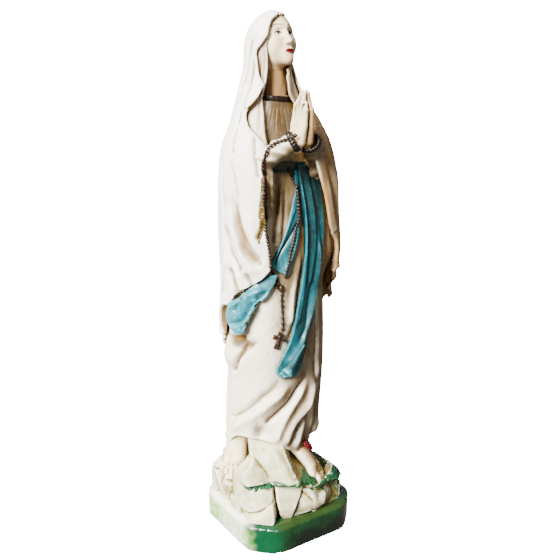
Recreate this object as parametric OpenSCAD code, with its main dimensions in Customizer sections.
// Standing praying figure of painted cast plaster, on a mound of rocks and a chamfered plinth.
// Units are millimetres, +Z is up and the figure faces -Y.
// The origin is the middle of the plinth's underside.

/* [Plinth] */
// Width of the plinth across its flat sides
plinth_w = 147; // [144:1:152]
// Height of the plinth
plinth_h = 36; // [32:1:38]
// Length cut off each side by a corner chamfer
plinth_chamfer = 27; // [22:1:32]
// Height of the sloping rim on top of the plinth
rim_h = 5; // [3:1:8]

/* [Figure] */
// Number of pleats round the gown
pleats = 13; // [9:1:17]
// Depth of the gown's pleats, as a share of its radius
pleat_depth = 0.03; // [0:0.005:0.04]
// Thickness of the mantle and of the veil
cloth_t = 4; // [3:0.5:4.5]
// Turn of the head towards the figure's left, in degrees
head_turn = 6; // [0:1:12]
// Upward tilt of the face, in degrees
head_tip = 6; // [0:1:10]

/* [Rosary] */
// Radius of a small bead
bead_r = 1.5; // [1.2:0.1:1.7]
// Distance between the centres of the beads along a strand
bead_pitch = 4.8; // [4.4:0.1:6]

/* [Armature] */
// Radius of the steel rod up the middle of the figure
rod_r = 3; // [2.5:0.5:4]

/* [Hidden] */

fit = 0.4;                     // glue line between two cast pieces
rod_fit = 0.1;                 // radial clearance round the armature rod
rod_at = [-3, 2];              // where the armature rod stands
rim_in = 6;                    // how far the plinth's rim slopes in
ledge_z = 65;                  // top of the lower course of rocks at the front, where the moss grows
hem_z = 100;                   // hem of the gown
neck_z = 507;                  // neckline of the gown
waist_z = 434;                 // middle of the sash
mantle_top = 482;              // where the mantle passes under the veil

// Half-width, half-depth and centre of the gown at each height
gown_a = [[100, 58], [200, 59], [250, 57], [300, 54], [370, 47], [420, 38], [440, 35], [470, 38],
    [486, 35], [497, 25], [507, 15]];
gown_b = [[100, 50], [200, 50], [250, 48], [300, 44], [370, 37], [420, 30], [440, 28], [470, 29],
    [486, 26], [497, 20], [507, 14]];
gown_x = [[100, -8], [150, -6], [200, -3], [300, 0], [440, 0], [507, -3]];
gown_y = [[100, 6], [200, 3], [300, 1], [507, 2]];
pleat_at = [[100, 1], [300, 0.9], [400, 0.4], [440, 0.1], [470, 0]];

// Half-width and half-depth of the mantle's outer face
mantle_a = [[190, 70], [250, 69], [320, 69], [380, 71.5], [430, 71], [460, 66], [482, 55]];
mantle_b = [[190, 61], [250, 59], [320, 57], [380, 57], [430, 54], [460, 48], [482, 42]];

// Half-width, half-depth and centre of the veil's outer face
veil_a = [[482, 55], [500, 45], [520, 36], [540, 29], [560, 28], [575, 26], [587, 21], [595, 14], [600, 4]];
veil_b = [[482, 42], [500, 38], [520, 34], [540, 32], [560, 32], [575, 30], [587, 25], [595, 16], [600, 5]];
veil_x = [[482, -1], [520, -8], [600, -9]];
veil_y = [[482, 2], [520, 8], [600, 9]];

// Points -----------------------------------------------------------------------------------

function ramp(n) = [for (i = [0:n]) i / n];
function mix(a, b, s) = a + (b - a) * s;
function unit(v) = v / norm(v);
function flat_list(l) = [for (s = l) for (e = s) e];
function around(n) = [for (i = [0:n - 1]) 360 * i / n];

// Points at angle t and height z, moved out by d, on the gown, the mantle and the veil
function gown_pt(t, z, d = 0) =
    let(f = 1 + pleat_depth * lookup(z, pleat_at) * cos(pleats * t + 0.25 * z))
    [lookup(z, gown_x) + (lookup(z, gown_a) * f + d) * cos(t),
     lookup(z, gown_y) + (lookup(z, gown_b) * f + d) * sin(t), z];
function mantle_pt(t, z, d = 0) =
    let(f = 1 + 0.02 * cos(11 * t + 0.3 * z))
    [(lookup(z, mantle_a) * f + d) * cos(t), 2 + (lookup(z, mantle_b) * f + d) * sin(t), z];
function veil_pt(t, z, d = 0) =
    [lookup(z, veil_x) + (lookup(z, veil_a) + d) * cos(t),
     lookup(z, veil_y) + (lookup(z, veil_b) + d) * sin(t),
     z];

// A ring of n points round p, square to dir, with radius r
function ring_at(p, dir, r, n) =
    let(d = unit(dir), side = unit(cross([0, 0, 1], d)), up = cross(d, side))
    [for (t = around(n)) p + r * cos(t) * side + r * sin(t) * up];
function way_at(path, i) = path[min(i + 1, len(path) - 1)] - path[max(i - 1, 0)];

// Solids from points -----------------------------------------------------------------------

function quad(a, b, c, d) = [[a, b, c], [a, c, d]];

// Skin over rings of equal count. A closed skin joins its last ring to its first, as on a tube
module skin(rings, closed = false) {
    n = len(rings[0]);
    m = len(rings);
    walls = flat_list([for (j = [0:m - (closed ? 1 : 2)]) for (i = [0:n - 1])
        let(u = j * n, v = ((j + 1) % m) * n, h = (i + 1) % n) quad(u + i, v + i, v + h, u + h)]);
    ends = closed ? [] : [[for (i = [0:n - 1]) i], [for (i = [n - 1:-1:0]) (m - 1) * n + i]];
    polyhedron(flat_list(rings), concat(walls, ends));
}

// Curved plate. Each section, from the bottom up, is a row of outer points and a row of inner points
module plate(sections) {
    m = len(sections[0][0]);
    w = 2 * m;
    e = m - 1;
    last = len(sections) - 1;
    faces = [for (j = [0:last - 1]) for (i = [0:m - 2]) let(a = j * w + i, b = a + w)
        each concat(quad(a, b, b + 1, a + 1), quad(a + m, a + m + 1, b + m + 1, b + m))];
    side_edges = [for (j = [0:last - 1]) let(a = j * w, b = a + w)
        each concat(quad(a, a + m, b + m, b), quad(a + e, b + e, b + m + e, a + m + e))];
    end_edges = [for (i = [0:m - 2]) let(b = last * w + i)
        each concat(quad(i, i + 1, i + m + 1, i + m), quad(b + 1, b, b + m, b + m + 1))];
    polyhedron(flat_list([for (s = sections) concat(s[0], s[1])]), concat(faces, side_edges, end_edges));
}

// Bore for the armature rod, from z0 to z1
module rod_bore(z0, z1)
    translate([rod_at[0], rod_at[1], z0])
        cylinder(r = rod_r + rod_fit, h = z1 - z0, $fn = 48);

// Plinth and rocks -------------------------------------------------------------------------

// Square of width w with its corners cut off by c
module chamfered(w, c) {
    h = w / 2;
    polygon([[h - c, -h], [h, c - h], [h, h - c], [h - c, h],
             [c - h, h], [-h, h - c], [-h, c - h], [c - h, -h]]);
}

rod_socket = 14;               // depth of the rod's socket in the plinth
module plinth() color("seagreen") difference() {
    union() {
        linear_extrude(plinth_h - rim_h) chamfered(plinth_w, plinth_chamfer);
        translate([0, 0, plinth_h - rim_h])
            linear_extrude(rim_h, scale = 1 - 2 * rim_in / plinth_w) chamfered(plinth_w, plinth_chamfer);
    }
    rod_bore(plinth_h - rod_socket, plinth_h + 1);
}

// Distance from the axis to the plinth's top edge at angle t, less inset
function edge_r(t, inset) =
    let(h = plinth_w / 2 - rim_in, c = (plinth_w - plinth_chamfer) / sqrt(2) - rim_in,
        off_corner = abs((t % 90 + 90) % 90 - 45))
    min(h / max(abs(cos(t)), abs(sin(t))), c / cos(off_corner)) - inset;

core_r = 36;                   // radius of the core that the boulders lean on
core_top = hem_z - fit;
module rock_core() color("ivory") difference() {
    translate([0, 0, plinth_h]) cylinder(r = core_r, h = core_top - plinth_h, $fn = 64);
    rod_bore(plinth_h - 1, core_top + 1);
    foot_pockets();
}

// A boulder from angle t0 to t1 and from height z0 to z1, with its top leaning by tilt towards t1.
// Its foot and its top stand inset_0 and inset_1 inside the plinth's top edge
module boulder(t0, t1, z0, z1, inset_0, inset_1, tilt = 0) {
    joint = 1.2;               // from the side of the boulder to the joint's middle
    r_in = (core_r + 1.5) / cos((t1 - t0) / 2);
    color("ivory") hull() for (i = [-1:1]) {
        z = z1 + tilt * i;
        foot_r = edge_r((t0 + t1 + i * (t1 - t0)) / 2, inset_0);
        top_r = edge_r((t0 + t1 + i * (t1 - t0)) / 2, inset_1) * (i == 0 ? 1 : 0.94);
        for (p = [[foot_r, z0], [mix(foot_r, top_r, 0.2), mix(z0, z, 0.6)], [top_r, z - 1],
                  [r_in, z0], [r_in, z - 1]]) {
            t = (t0 + t1) / 2 + i * ((t1 - t0) / 2 - asin(joint / p[0]));
            translate([p[0] * cos(t), p[0] * sin(t), p[1]]) cylinder(r = 0.5, h = 1, $fn = 4);
        }
    }
}
module rock_left() boulder(168, 200, plinth_h, ledge_z + 2, 3, 8, -3);
module rock_front_left() boulder(200, 226, plinth_h, ledge_z - 2, 4, 8, 2);
module rock_corner() boulder(226, 250, plinth_h, ledge_z - 6, 3, 7, -3);
module rock_front() boulder(250, 272, plinth_h, ledge_z - 3, 4, 6, -2);
module rock_front_right() boulder(272, 312, plinth_h, ledge_z - 2, 3, 5, 1);
module rock_right() boulder(312, 356, plinth_h, ledge_z + 10, 3, 9, 2);
module rock_back_right() boulder(-4, 44, plinth_h, ledge_z + 20, 3, 12, -1);
module rock_back() boulder(44, 108, plinth_h, ledge_z + 24, 3, 12, 1);
module rock_back_left() boulder(108, 168, plinth_h, ledge_z + 22, 3, 10, -2);

// Upper course: the slab between the feet
module rock_slab() boulder(210, 272, ledge_z + 1.5, hem_z - 5, 12, 17);

// Strip of moss on the ledge, from the front round the right side
module moss_ledge() {
    arc = [for (s = ramp(16)) mix(274, 310, s)];
    low = ledge_z + 0.5;
    color("forestgreen") plate([
        [[for (t = arc) edge_r(t, 7) * [cos(t), sin(t), 0] + [0, 0, low]],
         [for (t = arc) (core_r + 2) * [cos(t), sin(t), 0] + [0, 0, low]]],
        [[for (t = arc) edge_r(t, 10) * [cos(t), sin(t), 0] + [0, 0, low + 3 + cos(20 * t)]],
         [for (t = arc) (core_r + 2) * [cos(t), sin(t), 0] + [0, 0, low + 5]]]]);
}

// Feet -------------------------------------------------------------------------------------

left_ankle = [12, -34, 108];
right_ankle = [-49, 10, 113];
toes_down = 42;                // slope of both feet, in degrees

// A bare left foot that points to -Y, with its ankle at the origin
module foot() translate([0, -2, -9]) {
    toes = [[-6.5, -46, 3.6], [-1.3, -47, 2.9], [3, -45, 2.6], [6.8, -42, 2.4], [10, -38, 2.2]];
    hull() {
        translate([0, 2, 9]) sphere(r = 9, $fn = 14);
        translate([-3, -30, 7]) sphere(r = 7, $fn = 14);
        translate([5, -28, 5]) sphere(r = 5, $fn = 14);
    }
    for (t = toes) hull() {
        translate([t[0], t[1], t[2]]) sphere(r = t[2], $fn = 10);
        translate([t[0] * 0.8, t[1] + 14, t[2] + 1]) sphere(r = t[2], $fn = 10);
    }
}
module at_left_ankle() translate(left_ankle) rotate([toes_down, 0, 18]) children();
module at_right_ankle() translate(right_ankle) rotate([toes_down, 0, -32]) children();
module left_foot() color("bisque") at_left_ankle() foot();
module right_foot() color("bisque") at_right_ankle() mirror([1, 0, 0]) foot();

// Room for the feet under the gown and round the core
module foot_pocket() hull() {
    sphere(r = 9.6, $fn = 24);
    translate([0, -30, -1]) sphere(r = 10, $fn = 24);
}
module foot_pockets() {
    at_left_ankle() foot_pocket();
    at_right_ankle() foot_pocket();
}

// Rose on the left instep: petals round a bud
module left_foot_rose() color("firebrick") at_left_ankle() translate([0, -16, 10]) {
    sphere(r = 2.6, $fn = 12);
    for (t = around(5)) translate([2.8 * cos(t), 2.8 * sin(t), -0.6]) sphere(r = 2, $fn = 10);
}

// Gown and sash ----------------------------------------------------------------------------

gown_sides = 52;
module gown() {
    skirt = [for (s = ramp(12)) mix(hem_z, 432, s)];
    bodice = [445, 460, 472, 480, 486, 492, 497, 502, neck_z];
    color("antiquewhite") difference() {
        skin([for (z = concat(skirt, bodice)) [for (t = around(gown_sides)) gown_pt(t, z)]]);
        rod_bore(hem_z - 1, neck_z + 1);
        foot_pockets();
    }
}

// A strip of cloth on the gown, d thick, between two angles that are given at each height
module strip(heights, from, to, d, m) plate([for (z = heights) let(t0 = lookup(z, from), t1 = lookup(z, to))
    [[for (s = ramp(m)) gown_pt(mix(t0, t1, s), z, d - 1.2 * pow(2 * s - 1, 4))],
     [for (s = ramp(m)) gown_pt(mix(t0, t1, s), z, fit)]]]);

band_h = 8;                    // half of the waistband's width
module sash_band() {
    heights = [for (s = [-1, -0.4, 0.4, 1]) waist_z + s * band_h];
    color("teal") skin(concat(
        [for (z = [heights[3], heights[0]]) [for (t = around(gown_sides)) gown_pt(t, z, fit)]],
        [for (z = heights)
            [for (t = around(gown_sides)) gown_pt(t, z, abs(z - waist_z) < 5 ? 4 : 2.5)]]), true);
}

tail_top = waist_z - band_h - fit;
module sash_left_tail() color("darkcyan") strip([for (s = ramp(14)) mix(212, tail_top, s)],
    [[212, 240], [300, 256], [372, 262], [tail_top, 262]],
    [[212, 272], [300, 282], [372, 284], [tail_top, 286]], 5, 6);
module sash_right_tail() color("darkcyan") strip([for (s = ramp(8)) mix(322, tail_top, s)],
    [[322, 218], [372, 234], [tail_top, 247]], [[322, 234], [372, 250], [tail_top, 258]], 4, 5);

// Blown end of the right tail, which comes out below the mantle's hem
module sash_right_end() {
    low = [[254, 176], [280, 186], [300, 206], [316, 220]];
    high = [[254, 196], [280, 222], [300, 238], [316, 234]];
    reach = [[254, 13], [285, 14], [298, 7], [316, 5]];
    color("turquoise") plate([for (s = ramp(7))
        let(z = mix(254, 316, s), t0 = lookup(z, low), t1 = lookup(z, high))
        [[for (q = ramp(6)) gown_pt(mix(t0, t1, q), z, lookup(z, reach) + cos(360 * q))],
         [for (q = ramp(6)) gown_pt(mix(t0, t1, q), z, 1)]]]);
}

// Mantle and veil --------------------------------------------------------------------------

// Front edges of the mantle at each height, and the joints of its three pieces, as angles
right_edge = [[300, 208], [318, 226], [400, 226], [440, 222], [mantle_top, 246]];
left_edge = [[250, 0], [300, -14], [340, -22], [400, -36], [440, -42], [mantle_top, -62]];
right_joint = 150;
left_joint = 20;
seam = 0.3;                    // half of the joint between two pieces, in degrees

// Piece of the mantle between two angles that are given at each height
module mantle_piece(from, to, z0, z1, n, m) color("floralwhite")
    plate([for (s = ramp(n)) let(z = mix(z0, z1, s), t0 = lookup(z, from), t1 = lookup(z, to))
        [[for (q = ramp(m)) mantle_pt(mix(t0, t1, q), z)],
         [for (q = ramp(m)) mantle_pt(mix(t0, t1, q), z, -cloth_t)]]]);
module mantle_back()
    mantle_piece([[0, left_joint + seam]], [[0, right_joint - seam]], 192, mantle_top, 14, 16);
module mantle_right() mantle_piece([[0, right_joint + seam]], right_edge, 300, mantle_top, 10, 12);
module mantle_left() mantle_piece(left_edge, [[0, left_joint - seam]], 252, mantle_top, 12, 10);

// Gilt braid along the mantle's right edge
module mantle_edge_braid() {
    width = 3;                 // in degrees
    color("darkgoldenrod") plate([for (s = ramp(12)) let(z = mix(318, 428, s), t = lookup(z, right_edge))
        [[for (q = ramp(2)) mantle_pt(t + 1 + q * width, z, 0.6)],
         [for (q = ramp(2)) mantle_pt(t + 1 + q * width, z, -2.4)]]]);
}

// Hood of cloth, open round the face and down the throat
module veil() {
    heights = [mantle_top + fit, 490, 500, 510, 520, 530, 540, 550, 560, 568, 575, 582, 587, 591,
               595, 598, 600];
    inside = [for (z = heights) if (z < 596) z];
    color("white") difference() {
        skin([for (z = heights) [for (t = around(40)) veil_pt(t, z)]]);
        skin(concat([[for (t = around(40)) veil_pt(t, mantle_top - 1, -cloth_t)]],
            [for (z = inside) [for (t = around(40)) veil_pt(t, z, -cloth_t)]]));
        translate([-7, 6, 0]) rotate([90, 0, head_turn]) linear_extrude(80) union() {
            translate([0, 562]) scale([17.5, 24]) circle(r = 1, $fn = 40);
            polygon([[-17, 555], [-15, 530], [-24, 500], [-32, 470],
                     [32, 470], [24, 500], [15, 530], [17, 555]]);
        }
    }
}

// Head -------------------------------------------------------------------------------------

head_at = [-9, 7, 564];       // middle of the skull
skull_a = [[-31, 4], [-28, 9], [-22, 13], [-12, 17], [0, 18.5], [10, 18.5], [18, 16], [24, 11], [28, 4]];
skull_b = [[-31, 5], [-28, 9], [-22, 15], [-12, 21], [0, 24], [10, 24.5], [18, 21], [24, 15], [28, 5]];
skull_y = [[-31, -12], [-22, -7], [-12, -3], [0, 0], [28, 2]];
function skull_pt(t, z, d = 0) =
    [(lookup(z, skull_a) + d) * cos(t), lookup(z, skull_y) + (lookup(z, skull_b) + d) * sin(t), z];
module on_neck() translate(head_at) rotate([-head_tip, 0, head_turn]) children();
neck_bottom = neck_z + fit;

module head() color("bisque") difference() {
    union() {
        on_neck() {
            skin([for (z = [-31, -28, -22, -12, -4, 4, 12, 18, 24, 28])
                [for (t = around(28)) skull_pt(t, z)]]);
            hull() {
                translate([0, -25, -8]) sphere(r = 2.2, $fn = 12);
                translate([0, -22.5, 4]) sphere(r = 1.5, $fn = 12);
            }
        }
        translate([-5, 4, neck_bottom]) cylinder(r1 = 11, r2 = 10, h = 50, $fn = 48);
    }
    rod_bore(neck_bottom - 1, neck_bottom + 20);
}

module hair() {
    part_angle = 42;           // how far each side of the face is bare
    sides = [for (q = ramp(20)) mix(part_angle - 90, 270 - part_angle, q)];
    color("saddlebrown") on_neck() plate([for (s = ramp(8)) let(z = mix(-14, 16, s))
        [[for (t = sides) skull_pt(t, z, 2)], [for (t = sides) skull_pt(t, z, 0.7)]]]);
}

module collar_braid() {
    heights = [neck_z - 5, neck_z - 1];
    color("saddlebrown") skin(concat(
        [for (z = [heights[1], heights[0]]) [for (t = around(36)) gown_pt(t, z, fit)]],
        [for (z = heights) [for (t = around(36)) gown_pt(t, z, 2)]]), true);
}

// Arms and hands ---------------------------------------------------------------------------

// Middle line and radius of the right sleeve, from under the mantle to the wrist
arm = [[-50, 5, 458], [-51, -2, 443], [-48, -14, 434], [-38, -28, 438], [-25, -41, 447], [-14, -49, 456]];
arm_r = [8.5, 9.5, 10, 10, 10.5, 10];
arm_end = len(arm) - 1;
wrist = arm[arm_end];
wrist_way = unit(wrist - arm[arm_end - 1]);

// A sleeve that is cast solid, with a mouth hollowed round the wrist
module sleeve() {
    n = 24;
    hem = 2.4;
    color("antiquewhite") skin(concat(
        [for (i = [0:arm_end]) ring_at(arm[i], way_at(arm, i), arm_r[i], n)],
        [for (d = [0, -5]) ring_at(wrist + d * wrist_way, wrist_way, arm_r[arm_end] - hem, n)]));
}
module left_side() translate([0, -2, -1]) mirror([1, 0, 0]) children();
module right_sleeve() sleeve();
module left_sleeve() left_side() sleeve();

module cuff_braid() {
    n = 24;
    ends = [wrist + fit * wrist_way, wrist + 3 * wrist_way];
    color("saddlebrown") skin(concat(
        [for (p = [ends[1], ends[0]]) ring_at(p, wrist_way, 8.2, n)],
        [for (p = ends) ring_at(p, wrist_way, 10.6, n)]), true);
}
module right_cuff_braid() cuff_braid();
module left_cuff_braid() left_side() cuff_braid();

// Right hand, flat against the plane x = 0, with its heel at the origin and its fingers along +Z
module hand() {
    fingers = [[-8, 30, 39, 2.5], [-3, 33, 45, 2.7], [2.4, 33, 44, 2.7], [7.4, 29, 36, 2.3]];
    hull() {
        translate([-5, 3, -4]) sphere(r = 4.4, $fn = 14);
        translate([-4.6, -7, 13]) sphere(r = 4.2, $fn = 12);
        translate([-4.6, 7, 12]) sphere(r = 4.2, $fn = 12);
        translate([-4, -6.5, 26]) sphere(r = 3.4, $fn = 12);
        translate([-4, 6.5, 25]) sphere(r = 3.4, $fn = 12);
    }
    for (f = fingers) hull() {
        translate([-3.3, f[0] * 0.85, f[1] - 8]) sphere(r = f[3] + 0.3, $fn = 10);
        translate([-2.4, f[0] * 0.55, f[2] + 5]) sphere(r = f[3] - 0.5, $fn = 10);
    }
    hull() {
        translate([-3.4, -8.5, 10]) sphere(r = 3, $fn = 10);
        translate([-2.8, -11, 30]) sphere(r = 2.3, $fn = 10);
    }
}
module folded_hands() translate([1, -54, 465]) rotate([-4, 0, 0]) children();
palm_gap = 0.2;                // half of the joint between the two palms
module palm() translate([-palm_gap, 0, 0]) mirror([0, 1, 0]) hand();
module right_hand() color("bisque") folded_hands() palm();
module left_hand() color("bisque") folded_hands() mirror([1, 0, 0]) palm();

// Rosary -----------------------------------------------------------------------------------

// Beads of radius r on a cord along a route, about pitch apart, as one skin whose radius follows the beads
module strand(route, r, pitch) {
    cord_r = 0.6;
    steps = 4;                 // rings from one bead to the next
    marks = [for (j = [0:len(route) - 2])
        let(d = route[j + 1] - route[j], count = max(1, round(norm(d) / pitch)))
        for (q = [0:steps * count - 1]) let(off = min(q % steps, steps - q % steps) * norm(d) / count / steps)
            [route[j] + q / steps / count * d, max(cord_r, sqrt(max(0, r * r - off * off)))]];
    spots = concat([for (m = marks) m[0]], [route[len(route) - 1]]);
    radii = concat([for (m = marks) m[1]], [cord_r]);
    color("sienna") skin([for (i = [0:len(spots) - 1]) ring_at(spots[i], way_at(spots, i), radii[i], 8)]);
}
strand_off = 5;                // how far the strands stand off the gown
outer_route = concat([[-26, -57, 457], [-38, -47, 451], [-50, -38, 436]],
    [for (z = [415, 385, 355, 330]) mantle_pt(lookup(z, right_edge) + 6, z, 2)],
    [gown_pt(237, 314, strand_off + 2)]);
inner_route = [gown_pt(259, 416, 7.5), gown_pt(259, 390, 7.5), gown_pt(256, 365, 7.5),
    gown_pt(251, 340, strand_off + 2), gown_pt(245, 316, strand_off + 1)];
module rosary_outer_strand() strand(outer_route, bead_r, bead_pitch);
module rosary_inner_strand() strand(inner_route, bead_r, bead_pitch);
module rosary_medal() color("sienna") translate(gown_pt(241, 306, strand_off + 2)) rotate([90, 0, -28])
    cylinder(r = 3.8, h = 1.6, center = true, $fn = 40);
module rosary_pendant()
    strand([for (z = [299, 285, 270, 262]) gown_pt(240, z, strand_off + 1)], bead_r + 0.3, 5.5);

// Latin cross with round ends, below the last bead
module crucifix() {
    bar = 3;
    reach = 7;                 // from the middle of the cross to the ends of its arms
    foot_z = -13;
    color("sienna") translate(gown_pt(240, 250, strand_off + 1)) rotate([0, 0, -30]) {
        translate([-bar / 2, -1, foot_z]) cube([bar, 2, 8 - foot_z]);
        translate([-reach, -1, -bar / 2]) cube([2 * reach, 2, bar]);
        for (p = [[-reach, 0], [reach, 0], [0, foot_z], [0, 8]])
            translate([p[0], 0, p[1]]) rotate([90, 0, 0]) cylinder(r = 2, h = 2, center = true, $fn = 24);
    }
}

// Armature ---------------------------------------------------------------------------------

module armature_rod() {
    bottom = plinth_h - rod_socket;
    color("slategray") translate([rod_at[0], rod_at[1], bottom])
        cylinder(r = rod_r, h = neck_bottom + 18 - bottom, $fn = 48);
}

plinth();
rock_core();
rock_front_left();
rock_corner();
rock_front();
rock_front_right();
rock_right();
rock_back_right();
rock_back();
rock_back_left();
rock_left();
rock_slab();
moss_ledge();
left_foot();
right_foot();
left_foot_rose();
gown();
sash_band();
sash_left_tail();
sash_right_tail();
sash_right_end();
mantle_back();
mantle_right();
mantle_left();
mantle_edge_braid();
veil();
head();
hair();
collar_braid();
right_sleeve();
left_sleeve();
right_cuff_braid();
left_cuff_braid();
right_hand();
left_hand();
rosary_outer_strand();
rosary_inner_strand();
rosary_medal();
rosary_pendant();
crucifix();
armature_rod();
